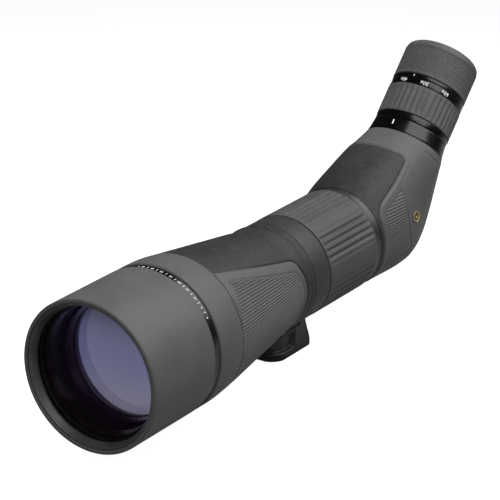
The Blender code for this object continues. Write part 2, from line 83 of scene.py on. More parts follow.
def on_axis(axis, radius, clock, height):
    """Base + height x way + radius x (cos(clock) x up + sin(clock) x side); clock is in degrees, 0 on top."""
    turn = np.radians(clock)[..., None]
    out = np.cos(turn) * axis["up"] + np.sin(turn) * axis["side"]
    return axis["base"] + np.asarray(height)[..., None] * axis["way"] + np.asarray(radius)[..., None] * out


# %% [markdown]
# A surface is a grid of points, and its faces follow from the grid alone: each point joins its neighbour in
# the row and in the next row, and the last joins the first again, so that the skin is closed. Whichever way
# round the grid was made, the enclosed volume tells: if it comes out negative, all faces are turned over.

# %% A closed skin from a grid
def grid_faces(rows, columns, wrap_rows):
    """Corners (r, c), (r, c+1), (r+1, c+1), (r+1, c) of every cell, counted modulo the grid's size."""
    last = rows if wrap_rows else rows - 1
    r, c = np.meshgrid(np.arange(last), np.arange(columns), indexing="ij")
    nr, nc = (r + 1) % rows, (c + 1) % columns
    corners = [r * columns + c, r * columns + nc, nr * columns + nc, nr * columns + c]
    return np.stack(corners, -1).reshape(-1, 4)


def enclosed(points, faces):
    """Six times the enclosed volume: the sum over triangles of a . (b x c)."""
    a, b, c = (points[faces[:, i]] for i in (0, 1, 2))
    total = (a * np.cross(b, c)).sum()
    if faces.shape[1] == 4:
        d = points[faces[:, 3]]
        total += (a * np.cross(c, d)).sum()
    return total


def make_mesh(name, points, parts, masks=None, sharp=32.0):
    """Puts points (millimetres) and arrays of faces into a mesh in metres; masks are numbers per point."""
    points = points.reshape(-1, 3)
    middle = points.mean(0)
    if sum(enclosed(points - middle, part) for part in parts) < 0:
        parts = [part[:, ::-1] for part in parts]
    mesh = bpy.data.meshes.new(name)
    mesh.vertices.add(len(points))
    mesh.vertices.foreach_set("co", (points * MM).astype(np.float32).ravel())
    loops = np.concatenate([part.ravel() for part in parts])
    sizes = np.concatenate([np.full(len(part), part.shape[1]) for part in parts])
    mesh.loops.add(len(loops))
    mesh.loops.foreach_set("vertex_index", loops.astype(np.int32))
    mesh.polygons.add(len(sizes))
    mesh.polygons.foreach_set("loop_start", (np.cumsum(sizes) - sizes).astype(np.int32))
    mesh.update(calc_edges=True)
    mesh.validate()
    mesh.shade_smooth()
    mesh.set_sharp_from_angle(angle=radians(sharp))
    for label, values in (masks or {}).items():
        layer = mesh.attributes.new(label, 'FLOAT', 'POINT')
        layer.data.foreach_set("value", values.astype(np.float32).ravel())
    made = bpy.data.objects.new(name, mesh)
    bpy.context.scene.collection.objects.link(made)
    return made


print("a closed grid of 4 by 6 points has", len(grid_faces(4, 6, True)), "faces")

# %% [markdown]
# An outline is drawn with a few corners. Real edges are never sharp, so each corner is replaced by a small
# arc, and long sides are cut into short ones so that a relief has points to move.

# %% Outlines
STRAIGHT = -0.97


def rounded(outline, radius, steps=3):
    """A corner P becomes the curve (1-t)^2 a + 2t(1-t) P + t^2 b; a nearly straight one stays a point."""
    corner = np.array(outline, float)
    points = []
    for here, before, after in zip(corner, np.roll(corner, 1, 0), np.roll(corner, -1, 0)):
        back, ahead = np.linalg.norm(before - here), np.linalg.norm(after - here)
        way_back, way_ahead = (before - here) / back, (after - here) / ahead
        if way_back @ way_ahead < STRAIGHT:
            points.append(here)
            continue
        a = here + way_back * min(radius, 0.45 * back)
        b = here + way_ahead * min(radius, 0.45 * ahead)
        for t in np.linspace(0, 1, steps + 1):
            points.append((1 - t) ** 2 * a + 2 * t * (1 - t) * here + t ** 2 * b)
    return np.array(points)


def refined(outline, longest):
    """Cuts each side into equal parts; longest(radius, height) is the most that a part may measure there."""
    pieces = []
    for start, end in zip(outline, np.roll(outline, -1, 0)):
        limit = longest(*(start + end) / 2) if callable(longest) else longest
        count = max(1, int(np.ceil(np.linalg.norm(end - start) / limit)))
        pieces.append(start + (end - start) * (np.arange(count) / count)[:, None])
    return np.concatenate(pieces)


def band_outline(inner, outer, start, end):
    """The four corners (radius, height) of a plain ring."""
    return [(inner, start), (outer, start), (outer, end), (inner, end)]


TUBE_CLOCKS = 288
EYE_CLOCKS = 256
FINE_CLOCKS = 720


def turned(name, axis, outline, rounding=0.3, longest=50.0, clocks=TUBE_CLOCKS, relief=None, masks=None,
           sharp=32.0):
    """Turns an outline of (radius, height) about an axis; relief(clock, height, radius) adds to it."""
    line = refined(rounded(outline, rounding), longest)
    if np.isscalar(clocks):
        clocks = np.arange(clocks) * 360.0 / clocks
    clock, radius = np.meshgrid(clocks, line[:, 0])
    height = np.broadcast_to(line[:, 1:2], clock.shape)
    if relief:
        radius = radius + relief(clock, height, radius)
    points = on_axis(axis, radius, clock, height)
    found = {label: rule(clock, height, radius) for label, rule in (masks or {}).items()}
    return make_mesh(name, points, [grid_faces(*clock.shape, True)], found, sharp)


def smooth(value, low, high):
    """0 at low, 1 at high, and 3t^2 - 2t^3 in between, whichever of the two is larger."""
    t = np.clip((value - low) / (high - low), 0.0, 1.0)
    return t * t * (3 - 2 * t)


def dip(distance, half_width):
    """A soft groove: exp(-(distance / half_width)^2)."""
    return np.exp(-(distance / half_width) ** 2)


def meet(first, second, radius):
    """Distance to the inside of two edges that meet in a corner of that radius."""
    return radius - np.hypot(np.maximum(radius - first, 0), np.maximum(radius - second, 0))


print("an outline of 4 corners becomes", len(rounded([(1, 0), (2, 0), (2, 1), (1, 1)], 0.1)), "points")

# %% [markdown]
# ## Finishes
# Painted aluminium, moulded rubber and enamel are all dark, so what tells them apart is the grain of the
# surface and the sharpness of what they reflect. Two effects are shared by every finish, and each is a node
# group: a fine grain that gives a height and a mask, and dust that settles where a surface looks up.

# %% Shared effects
def new_group(name, inputs, outputs):
    """A shader node group with named number inputs (name, default) and outputs (name, socket type)."""
    group = bpy.data.node_groups.new(name, 'ShaderNodeTree')
    for label, value in inputs:
        socket = group.interface.new_socket(label, in_out='INPUT', socket_type='NodeSocketFloat')
        socket.default_value = value
    for label, kind in outputs:
        group.interface.new_socket(label, in_out='OUTPUT', socket_type=kind)
    return group, group.nodes.new("NodeGroupInput"), group.nodes.new("NodeGroupOutput")


def add(tree, kind, links=(), **settings):
    """Adds a node; settings are its properties or input values, and links are (input, source socket)."""
    node = tree.nodes.new(kind)
    for label, value in settings.items():
        if hasattr(node, label):
            setattr(node, label, value)
        else:
            node.inputs[label.replace("_", " ")].default_value = value
    for target, source in links:
        tree.links.new(source, node.inputs[target])
    return node


def grain_group():
    """Grain: a coarse and a fine noise on Object coordinates, mixed into a mask and a height."""
    group, entry, leave = new_group("surface_grain", [("Scale", 900.0), ("Patches", 40.0)],
                                    [("Height", 'NodeSocketFloat'), ("Patch", 'NodeSocketFloat')])
    place = add(group, "ShaderNodeTexCoord").outputs["Object"]
    fine = add(group, "ShaderNodeTexNoise", [("Vector", place), ("Scale", entry.outputs["Scale"])],
               Detail=3.0, Roughness=0.6)
    cells = add(group, "ShaderNodeTexVoronoi", [("Vector", place), ("Scale", entry.outputs["Scale"])])
    patch = add(group, "ShaderNodeTexNoise", [("Vector", place), ("Scale", entry.outputs["Patches"])],
                Detail=4.0)
    height = add(group, "ShaderNodeMath", [(0, fine.outputs["Fac"]), (1, cells.outputs["Distance"])],
                 operation='MULTIPLY')
    group.links.new(height.outputs[0], leave.inputs["Height"])
    group.links.new(patch.outputs["Fac"], leave.inputs["Patch"])
    return group


def dust_group():
    """Dust: how far a surface looks up, times a patchy noise, times an amount."""
    group, entry, leave = new_group("settled_dust", [("Amount", 0.1)], [("Mask", 'NodeSocketFloat')])
    normal = add(group, "ShaderNodeNewGeometry").outputs["Normal"]
    up = add(group, "ShaderNodeSeparateXYZ", [(0, normal)]).outputs["Z"]
    facing = add(group, "ShaderNodeMapRange", [("Value", up)], From_Min=0.2, From_Max=1.0)
    place = add(group, "ShaderNodeTexCoord").outputs["Object"]
    noise = add(group, "ShaderNodeTexNoise", [("Vector", place)], Scale=220.0, Detail=6.0, Roughness=0.7)
    spots = add(group, "ShaderNodeMapRange", [("Value", noise.outputs["Fac"])], From_Min=0.42, From_Max=0.75)
    both = add(group, "ShaderNodeMath", [(0, facing.outputs[0]), (1, spots.outputs[0])], operation='MULTIPLY')
    final = add(group, "ShaderNodeMath", [(0, both.outputs[0]), (1, entry.outputs["Amount"])],
                operation='MULTIPLY')
    group.links.new(final.outputs[0], leave.inputs["Mask"])
    return group


GRAIN = grain_group()
DUST = dust_group()
print("shared effects:", GRAIN.name, "and", DUST.name)


def use_group(tree, group, **values):
    """Places a node group with its own values."""
    node = tree.nodes.new("ShaderNodeGroup")
    node.node_tree = group
    for label, value in values.items():
        node.inputs[label].default_value = value
    return node


# %% [markdown]
# A finish is then one function with a few numbers: its colour, how far the colour wanders in patches, its
# roughness, how deep the grain is, and the dust. Where a piece has a second tone, such as a paler panel
# moulded into the rubber, a mask stored on the mesh chooses between the two colours.

# %% Finishes made from the shared effects
DUST_COLOUR = (0.35, 0.34, 0.32, 1.0)
PATCH_RANGE = {"From_Min": 0.3, "From_Max": 0.7}
ROUGHNESS_WANDER = 0.05


def finish(name, colour, roughness, metallic=0.0, wander=0.25, grain=900.0, depth=0.15, dust=0.05,
           second=None, mask="panel", specular=0.3):
    """A Principled finish with grain, patches and dust; second is the colour where the mask is 1."""
    made = bpy.data.materials.new(name)
    made.use_nodes = True
    tree = made.node_tree
    shader = tree.nodes["Principled BSDF"]
    shader.inputs["Metallic"].default_value = metallic
    shader.inputs["Specular IOR Level"].default_value = specular
    texture = use_group(tree, GRAIN, Scale=grain)
    base = (*colour, 1.0)
    tone = add(tree, "ShaderNodeMix", data_type='RGBA')
    tone.inputs["A"].default_value = base
    tone.inputs["B"].default_value = base
    if second:
        tone.inputs["B"].default_value = (*second, 1.0)
        chooser = add(tree, "ShaderNodeAttribute", attribute_name=mask)
        tree.links.new(chooser.outputs["Fac"], tone.inputs["Factor"])
    spread = add(tree, "ShaderNodeMapRange", [("Value", texture.outputs["Patch"])], **PATCH_RANGE,
                 To_Min=1.0 - wander, To_Max=1.0 + wander)
    varied = add(tree, "ShaderNodeVectorMath", [(0, tone.outputs["Result"]), ("Scale", spread.outputs[0])],
                 operation='SCALE')
    powder = use_group(tree, DUST, Amount=dust)
    dusted = add(tree, "ShaderNodeMix", data_type='RGBA')
    tree.links.new(powder.outputs["Mask"], dusted.inputs["Factor"])
    tree.links.new(varied.outputs[0], dusted.inputs["A"])
    dusted.inputs["B"].default_value = DUST_COLOUR
    tree.links.new(dusted.outputs["Result"], shader.inputs["Base Color"])
    rough = add(tree, "ShaderNodeMapRange", [("Value", texture.outputs["Patch"])], **PATCH_RANGE,
                To_Min=max(0.02, roughness - ROUGHNESS_WANDER), To_Max=min(1.0, roughness + ROUGHNESS_WANDER))
    tree.links.new(rough.outputs[0], shader.inputs["Roughness"])
    bump = add(tree, "ShaderNodeBump", [("Height", texture.outputs["Height"])], Strength=depth,
               Distance=0.0002)
    tree.links.new(bump.outputs[0], shader.inputs["Normal"])
    return made


PAINT = finish("satin_grey_paint", (0.068, 0.068, 0.069), 0.5, grain=1300, depth=0.45, wander=0.06,
               specular=0.2)
DARK_PAINT = finish("dark_satin_paint", (0.023, 0.023, 0.024), 0.48, grain=1300, depth=0.4, wander=0.06,
                    specular=0.25)
NECK_PAINT = finish("half_gloss_paint", (0.016, 0.016, 0.017), 0.36, grain=1300, depth=0.2, wander=0.06,
                    specular=0.5)
ARMOUR = finish("moulded_rubber", (0.018, 0.018, 0.019), 0.55, grain=1000, depth=0.5, wander=0.1,
                second=(0.066, 0.066, 0.067), specular=0.25)
GRIP = finish("ribbed_rubber", (0.05, 0.05, 0.051), 0.55, grain=1000, depth=0.45, wander=0.1, specular=0.2)
EYE_RUBBER = finish("pale_rubber", (0.066, 0.066, 0.067), 0.55, grain=1000, depth=0.45, wander=0.1,
                    specular=0.2)
ENAMEL = finish("gloss_black_enamel", (0.0015, 0.0015, 0.002), 0.23, grain=700, depth=0.02, wander=0.1,
                dust=0.0, specular=0.5)
SATIN_BLACK = finish("satin_black", (0.004, 0.004, 0.0045), 0.3, grain=900, depth=0.05, wander=0.1, dust=0.0,
                     specular=0.45)
LINING = finish("black_lining", (0.0016, 0.0014, 0.0018), 0.6, grain=700, depth=0.02, dust=0.0, specular=0.04)
ANODISED = finish("black_anodised", (0.012, 0.012, 0.013), 0.45, metallic=0.4, grain=2500, depth=0.15,
                  dust=0.0)
FELT = finish("black_felt", (0.012, 0.012, 0.012), 0.95, grain=2500, depth=0.8, dust=0.0)
STEEL = finish("plain_steel", (0.45, 0.45, 0.46), 0.3, metallic=1.0, grain=1800, depth=0.1, dust=0.0)
GOLD = finish("gold_plate", (0.8, 0.58, 0.24), 0.28, metallic=1.0, grain=1800, depth=0.05, dust=0.0)
WHITE = finish("white_print", (0.75, 0.75, 0.74), 0.5, grain=2500, depth=0.1, wander=0.04, dust=0.0)
print("finishes:", len(bpy.data.materials))

# %% [markdown]
# Coated glass is nearly black seen straight on, because the light goes in and is caught between the black
# walls. What is seen is the coating: it mirrors the room in violet, over a dark plum body. The violet is the
# coating's own, but how bright the mirror is gets painted by height: a pale, bright violet low on the glass and
# a dimmer, deeper blue higher up, a painted change in the reflection. The lens's rear face would mirror the
# room a second time, more faintly, and a thin coat whose normal is tilted a little stands for that.

# %% Glass
GLASS_ROUGHNESS = 0.015
COAT_ROUGHNESS = 0.02
COAT_INDEX = 1.7


def coated_glass(name, body, low_tint, high_tint, low, high, index, second_tilt):
    """Dark body, a mirror whose colour is painted brighter low and dimmer high between two heights (metres) as a
    painted reflection, and a tilted clear coat.
    """
    made = bpy.data.materials.new(name)
    made.use_nodes = True
    tree = made.node_tree
    shader = tree.nodes["Principled BSDF"]
    shader.inputs["Base Color"].default_value = (*body, 1.0)
    shader.inputs["Roughness"].default_value = GLASS_ROUGHNESS
    shader.inputs["IOR"].default_value = index
    # Painted reflection: the mirror goes from a bright violet at the low height to a dimmer blue at the high one,
    # by height alone.
    place = add(tree, "ShaderNodeTexCoord").outputs["Object"]
    up = add(tree, "ShaderNodeSeparateXYZ", [(0, place)]).outputs["Z"]
    rise = add(tree, "ShaderNodeMapRange", [("Value", up)], From_Min=low, From_Max=high,
               interpolation_type='SMOOTHSTEP')
    painted_reflection_tint = add(tree, "ShaderNodeMix", data_type='RGBA')
    painted_reflection_tint.inputs["A"].default_value = (*low_tint, 1.0)
    painted_reflection_tint.inputs["B"].default_value = (*high_tint, 1.0)
    tree.links.new(rise.outputs[0], painted_reflection_tint.inputs["Factor"])
    tree.links.new(painted_reflection_tint.outputs["Result"], shader.inputs["Specular Tint"])
    normal = add(tree, "ShaderNodeNewGeometry").outputs["Normal"]
    tilted = add(tree, "ShaderNodeVectorMath", [(0, normal)], operation='ADD')
    tilted.inputs[1].default_value = second_tilt
    tree.links.new(tilted.outputs[0], shader.inputs["Coat Normal"])
    shader.inputs["Coat Weight"].default_value = 1.0
    shader.inputs["Coat IOR"].default_value = COAT_INDEX
    shader.inputs["Coat Roughness"].default_value = COAT_ROUGHNESS
    return made


glass_low, glass_high = (corner[2] * MM for corner in span("objective_front_element"))
glass_middle = 0.4 * glass_low + 0.6 * glass_high
# The front glass's mirror is painted bright pale violet low on the glass and a dimmer, deeper blue from a little
# above its middle up.
FRONT_GLASS = coated_glass("coated_front_glass", (0.02, 0.006, 0.026), (0.8, 0.77, 1.0), (0.34, 0.36, 0.72),
                           glass_low, glass_middle, 8.0, (-0.08, 0.0, -0.07))
INNER_GLASS = coated_glass("plain_inner_glass", (0.02, 0.02, 0.03), (0.9, 0.9, 1.0), (0.9, 0.9, 1.0),
                           glass_low, glass_high, 1.6, (0.0, 0.0, 0.0))

SLOT_FINISH = {"grey_paint": PAINT, "dark_paint": DARK_PAINT, "rubber_armour": GRIP, "gloss_black": ENAMEL,
               "black_anodised": ANODISED, "soft_liner": FELT, "coated_glass": INNER_GLASS, "steel": STEEL,
               "gold": GOLD, "white_marks": WHITE}
NODE_SLOT = {part["node"]: part["material_slot"] for part in frame["record"]["subparts"]}


def dress(piece, look, body, slot, *stands_for):
    """Gives a new piece its finish and the body it rides on, and hides the CAD nodes it stands for; slot is not
    used.
    """
    piece.data.materials.clear()
    piece.data.materials.append(look)
    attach(piece, body)
    if stands_for:
        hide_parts(*stands_for)
    return piece


print("slots with a finish:", len(SLOT_FINISH))

# %% [markdown]
# ## Sunshade
# The front tube that slides forward over the lens. Its rim is turned: a flat front land, a small step, and
# inside it a separate bevelled ring, blackened, which leads down to the glass.

# %% Sunshade and its trim ring
BODY_R = (span("sunshade_shell")[1][0] - span("sunshade_shell")[0][0]) / 2
SHADE_LENGTH = span("sunshade_shell")[1][1] - RIM_Y
SHADE_WALL = 3.4
BORE_R = BODY_R - SHADE_WALL
TRIM_END = 7.2
shade = turned("sunshade_tube", TUBE,
               [(BORE_R, 2.2), (BORE_R + 0.4, 2.2), (BORE_R + 0.5, 0.3), (BORE_R + 0.8, 0.02),
                (BODY_R - 0.9, 0.02), (BODY_R - 0.02, 0.9), (BODY_R - 0.02, SHADE_LENGTH - 0.6),
                (BODY_R - 0.5, SHADE_LENGTH - 0.1), (BORE_R, SHADE_LENGTH - 0.1)],
               rounding=0.35, longest=20.0)
dress(shade, PAINT, "sunshade", "grey_paint", "sunshade_shell")
lining = turned("sunshade_lining", TUBE, band_outline(BORE_R - 0.25, BORE_R + 0.2, 7.3, SHADE_LENGTH - 0.2),
                rounding=0.05)
dress(lining, LINING, "sunshade", "black_anodised")
trim = turned("sunshade_bevel_ring", TUBE,
              [(BORE_R - 0.1, 1.0), (BORE_R - 0.1, TRIM_END), (44.9, TRIM_END), (44.7, 5.4), (46.9, 1.0)],
              rounding=0.15)
BEVEL = finish("satin_bevel", (0.09, 0.09, 0.093), 0.36, metallic=0.5, grain=2000, depth=0.15, dust=0.0)
dress(trim, BEVEL, "sunshade", "black_anodised", "sunshade_trim_ring")
print("sunshade:", round(2 * BODY_R, 1), "mm across and", round(SHADE_LENGTH, 1), "mm long")

# %% [markdown]
# ## Front lens
# A lens is an outline turned about the axis too, but it has a pole on each side. There the grid closes in
# one point, and a fan of triangles replaces the four-cornered cells.

# %% Lens surfaces
def capped(name, grid, first, last, sharp):
    """Closes a grid of rings with one point before its first ring and one after its last."""
    rows, columns = grid.shape[:2]
    here = np.arange(columns)
    ahead = (here + 1) % columns
    count = rows * columns
    end = count - columns
    fans = np.concatenate([np.stack([np.full(columns, count), ahead, here], 1),
                           np.stack([np.full(columns, count + 1), end + here, end + ahead], 1)])
    points = np.concatenate([grid.reshape(-1, 3), [first, last]])
    return make_mesh(name, points, [grid_faces(rows, columns, False), fans], sharp=sharp)


def lens(name, axis, radius, edge_front, edge_rear, front_bulge, rear_bulge, rings=24, columns=144):
    """Each face is edge -+ bulge x (1 - (r/R)^2), a shallow bowl; the two faces meet at the ground edge."""
    share = np.arange(1, rings + 1) / rings
    front = np.stack([radius * share, edge_front - front_bulge * (1 - share ** 2)], 1)
    rear = np.stack([radius * share, edge_rear + rear_bulge * (1 - share ** 2)], 1)[::-1]
    line = np.concatenate([front, rear])
    clock, r = np.meshgrid(np.arange(columns) * 360.0 / columns, line[:, 0])
    skin = on_axis(axis, r, clock, np.broadcast_to(line[:, 1:2], clock.shape))
    first = axis["base"] + axis["way"] * (edge_front - front_bulge)
    last = axis["base"] + axis["way"] * (edge_rear + rear_bulge)
    return capped(name, skin, first, last, 40.0)


front_low, front_high = span("objective_front_element")
LENS_R = (front_high[0] - front_low[0]) / 2
lens_front = front_low[1] - RIM_Y
glass = lens("front_lens", TUBE, LENS_R, lens_front + 3.6, lens_front + 10.4, 3.6, 2.6)
dress(glass, FRONT_GLASS, "scope", "coated_glass", "objective_front_element")
ring = turned("front_lens_ring", TUBE,
              [(42.85, 12.0), (43.15, 12.0), (43.15, 19.4), (41.7, 19.4), (41.7, 18.6), (42.5, 13.2)],
              rounding=0.12)
RING_BLACK = finish("lens_ring_black", (0.014, 0.007, 0.01), 0.25, metallic=0.6, grain=2500, depth=0.05)
dress(ring, RING_BLACK, "scope", "gloss_black", "objective_retainer")
print("front lens:", round(2 * LENS_R, 1), "mm across")


# %% [markdown]
# ## Name ring
# A narrow gloss ring between the sunshade and the barrel. A plain degree scale is printed on it: ticks and
# figures only. Type is made flat, turned into a mesh, and then wrapped: its width becomes an angle and its
# height a place along the axis.

# %% Printing on a ring
def flat_type(text, size):
    """Points and faces of a short text in millimetres, centred, lying flat."""
    curve = bpy.data.curves.new("type", 'FONT')
    curve.body = text
    curve.size = size
    curve.align_x = 'CENTER'
    curve.align_y = 'CENTER'
    curve.resolution_u = 2
    curve.extrude = 0.02
    shape = bpy.data.objects.new("type", curve)
    bpy.context.scene.collection.objects.link(shape)
    bpy.context.view_layer.update()
    evaluated = shape.evaluated_get(bpy.context.evaluated_depsgraph_get())
    mesh = evaluated.to_mesh()
    points = np.array([vertex.co[:] for vertex in mesh.vertices])
    faces = [tuple(polygon.vertices) for polygon in mesh.polygons]
    evaluated.to_mesh_clear()
    bpy.data.objects.remove(shape)
    bpy.data.curves.remove(curve)
    return points, faces


def flat_bar(width, height):
    """A thin block, as points and faces: a tick mark."""
    x, y, z = width / 2, height / 2, 0.02
    points = np.array([(sx * x, sy * y, sz * z) for sz in (-1, 1) for sy in (-1, 1) for sx in (-1, 1)])
    faces = [(0, 2, 3, 1), (4, 5, 7, 6), (0, 1, 5, 4), (2, 6, 7, 3), (0, 4, 6, 2), (1, 3, 7, 5)]
    return points, faces


def print_on_ring(name, axis, radius, marks, reading_way):
    """Wraps marks (points, faces, clock, height): clock - x / radius, height - way x y, radius + z."""
    all_points, all_faces, count = [], [], 0
    for points, faces, clock, height in marks:
        turn = clock - np.degrees(points[:, 0] / radius) * reading_way
        wrapped = on_axis(axis, radius + points[:, 2], turn, height - reading_way * points[:, 1])
        all_points.append(wrapped)
        all_faces += [tuple(index + count for index in face) for face in faces]
        count += len(points)
    mesh = bpy.data.meshes.new(name)
    mesh.from_pydata(np.concatenate(all_points) * MM, [], all_faces)
    made = bpy.data.objects.new(name, mesh)
    bpy.context.scene.collection.objects.link(made)
    return made


name_low, name_high = span("name_ring")
NAME_R = (name_high[0] - name_low[0]) / 2
NAME_START, NAME_END = name_low[1] - RIM_Y, name_high[1] - RIM_Y
plate = turned("name_ring_plate", TUBE, band_outline(46.8, NAME_R, NAME_START, NAME_END), rounding=0.4)
dress(plate, ENAMEL, "scope", "gloss_black", "name_ring")
name_middle = (NAME_START + NAME_END) / 2
PRINT_LIFT = 0.02
SCALE_FIRST = 58.0
SCALE_STEP = 8.2
marks = []
for index in range(9):
    clock = SCALE_FIRST - SCALE_STEP * index
    marks.append((*flat_type(str(5 * index), 2.5), clock, name_middle))
    marks.append((*flat_bar(0.3, 2.3), clock - SCALE_STEP / 2, name_middle))
scale = print_on_ring("name_ring_scale", TUBE, NAME_R + PRINT_LIFT, marks, 1.0)
dress(scale, WHITE, "scope", "white_marks")
print("marks on the name ring:", len(marks))

# %% [markdown]
# ## Bare front of the barrel
# The front of the barrel is bare, painted like the sunshade. It stays a cylinder for a while and then rounds
# over towards the taper, so its outline is a straight line that bends down as a parabola.

# %% Bare front of the barrel
ARMOUR_START = span("barrel_armour")[0][1] - RIM_Y
ARMOUR_END = span("barrel_armour")[1][1] - RIM_Y
FOCUS_R = (span("focus_grip")[1][0] - span("focus_grip")[0][0]) / 2
ROUND_OVER = 78.0
BARREL_BORE = 46.5


def front_radius(height):
    """A cylinder that rounds over: R - 0.0044 x (height - 78)^2 past 78 mm."""
    return BODY_R - 0.1 - 0.0044 * np.maximum(0.0, height - ROUND_OVER) ** 2


heights = np.linspace(NAME_END + 0.9, ARMOUR_START - 0.15, 16)
outside = np.stack([front_radius(heights), heights], 1)
front = turned("barrel_front", TUBE,
               [(BODY_R - 0.9, NAME_END + 0.1), *outside, (BARREL_BORE, ARMOUR_START - 0.15),
                (BARREL_BORE, NAME_END + 0.1)], rounding=0.35)
dress(front, PAINT, "scope", "grey_paint", "front_barrel")
print("bare front:", round(ARMOUR_START - NAME_END, 1), "mm long")

# %% [markdown]
# ## Rubber armour
# Behind the bare front the rubber tapers down to the collar. On each side a panel is moulded into it: a
# raised frame with a fine groove round it, and inside it ribs that run with the taper and stop at the slanted
# edges of the frame. The grid is fine only where the panels are, to keep the mesh light.

# %% Armour with its side panels
RIB_PITCH = 2.5
RIB_SAMPLES = 6


def side_clocks(half_span, step, coarse):
    """Angles round the tube: fine on both sides within half_span of 90 and 270 degrees, coarse elsewhere."""
    fine = np.arange(90 - half_span, 90 + half_span + step / 2, step)
    count = int((180 - 2 * half_span) / coarse)
    gap = np.linspace(90 + half_span, 270 - half_span, count, endpoint=False)[1:]
    return np.concatenate([fine, gap, fine + 180, (gap + 180) % 360])


def taper_radius(height):
    """The straight taper of the armour, joined smoothly to the collar's size at its rear."""
    slope = (front_radius(ARMOUR_START) - FOCUS_R - 0.7) / (181.0 - ARMOUR_START)
    line = front_radius(ARMOUR_START) - slope * (height - ARMOUR_START)
    blend = smooth(height, 174.0, 192.0)
    return line * (1 - blend) + (FOCUS_R - 0.12) * blend


def armour_panel(clock, height):
    """Distances in mm into the frame and into the rib field, both measured from their edges inwards."""
    off_side = np.abs(np.abs((clock + 180) % 360 - 180) - 90)
    arc = radians(1) * taper_radius(height)
    along = (height - 97.3) / (188.2 - 97.3)
    frame_in = meet((59.4 - 21.8 * along - off_side) * arc, 191.0 - 2.0 * (off_side / 22) ** 2 - height, 3.5)
    rib_along = (height - 100) / 79
    top = (50.0 - 22.5 * rib_along - off_side) * arc
    rear = 187.2 - 3.7 * (off_side / 22) ** 2 - height
    rib_front = height - (96.5 + 8.0 * smooth(off_side, 4, 44))
    return frame_in, np.minimum(meet(top, rear, 2.0), rib_front), rib_front


def armour_relief(clock, height, radius):
    """Frame +0.3, grooves at its edges, ribs 0.6 deep, and a bead and a groove before the collar."""
    outer = smooth(radius - taper_radius(height), -1.2, -0.6)
    frame_in, rib_in, rib_front = armour_panel(clock, height)
    raised = 0.30 * smooth(frame_in, 0.2, 1.2) - 0.65 * dip(frame_in, 0.75)
    field = smooth(rib_in, 0.0, 0.7)
    border = 0.45 * dip(rib_in, 0.65) * smooth(rib_front, 0.5, 2.0)
    phase = ((clock - 90) / RIB_PITCH) % 1.0
    ridge = 0.5 - 0.5 * np.cos(2 * pi * phase)
    ribs = field * (0.12 - 0.62 * ridge ** 1.5)
    off_top = np.abs((clock + 180) % 360 - 180)
    lip = 0.7 * dip(height - 193.4, 0.9) * smooth(off_top, 85, 45) - 0.4 * dip(height - 196.3, 0.6)
    return outer * (raised - border + ribs + lip)


def panel_mask(clock, height, radius):
    """1 on the paler side panel and its frame."""
    return smooth(armour_panel(clock, height)[0], -0.1, 0.5)


def armour_steps(radius, height):
    """Rows are close where edges cross the tube, far apart between, and few on the inside."""
    if radius < taper_radius(height) - 1.0:
        return 20.0
    return 0.5 if height < 108 else (1.7 if height < 180 else 0.42)


heights = np.linspace(ARMOUR_START, ARMOUR_END, 24)
outside = np.stack([taper_radius(heights), heights], 1)
inside = [(taper_radius(h) - 2.2, h) for h in (ARMOUR_END, 190.0, 181.0, ARMOUR_START)]
rubber = turned("barrel_rubber", TUBE, [*outside, *inside], rounding=0.25, longest=armour_steps,
                clocks=side_clocks(50, RIB_PITCH / RIB_SAMPLES, 1.25), relief=armour_relief,
                masks={"panel": panel_mask}, sharp=60.0)
dress(rubber, ARMOUR, "scope", "rubber_armour", "barrel_armour")
print("armour triangles:", 2 * len(rubber.data.polygons))

# %% [markdown]
# ## Collar and foot
# The collar stays on the tripod while the scope turns inside it. It is a plain painted ring, with fine
# bevels at its ends. Foot, knob and screws keep the frame's own solids where their shape is already right.

# %% Collar ring
COLLAR_START = span("collar_ring")[0][1] - RIM_Y
COLLAR_END = span("collar_ring")[1][1] - RIM_Y
COLLAR_R = 36.9
COLLAR_BORE = 34.35
collar = turned("collar_band", TUBE,
                [(COLLAR_BORE, COLLAR_START - 0.08), (COLLAR_R - 0.6, COLLAR_START - 0.08),
                 (COLLAR_R, COLLAR_START + 0.5), (COLLAR_R, COLLAR_END - 0.5),
                 (COLLAR_R - 0.6, COLLAR_END + 0.08), (COLLAR_BORE, COLLAR_END + 0.08)], rounding=0.4)
dress(collar, DARK_PAINT, "mount", "dark_paint")
print("collar:", round(COLLAR_END - COLLAR_START, 1), "mm long")

# %% [markdown]
# The foot's sides are hollowed, and round the hollow runs a fine raised rim. Rings shrink from the foot's
# outline to its middle, and every point is pushed in or out by its distance to the rim.

# %% Side panels of the foot
foot_low, foot_high = span("mounting_foot")
FOOT_FRONT, FOOT_REAR = foot_low[1], foot_high[1]
FOOT_TOP = 19.6
PAD_FRONT = COLLAR_START + RIM_Y - 1.5
NOSE_R = 12.4
FIN_TOP = 23.1
FOOT_LINE = [(FOOT_FRONT, 0.3), (FOOT_REAR - 0.9, 0.3), (FOOT_REAR - 0.2, 0.9), (FOOT_REAR - 0.3, 5.7),
             (FOOT_REAR - 1.2, 8.6), (FOOT_REAR - 2.1, 11.0), (FOOT_REAR - 3.8, 15.2),
             (FOOT_REAR - 5.0, 18.6), (FOOT_REAR - 5.8, 21.0), (FOOT_REAR - 5.9, FIN_TOP),
             (COLLAR_END + RIM_Y + 0.8, FIN_TOP), (COLLAR_END + RIM_Y - 2.2, FOOT_TOP), (PAD_FRONT, FOOT_TOP),
             (PAD_FRONT - 4.4, 16.2), (FOOT_FRONT + 1.3, 15.0), (FOOT_FRONT + 0.1, 13.3)]


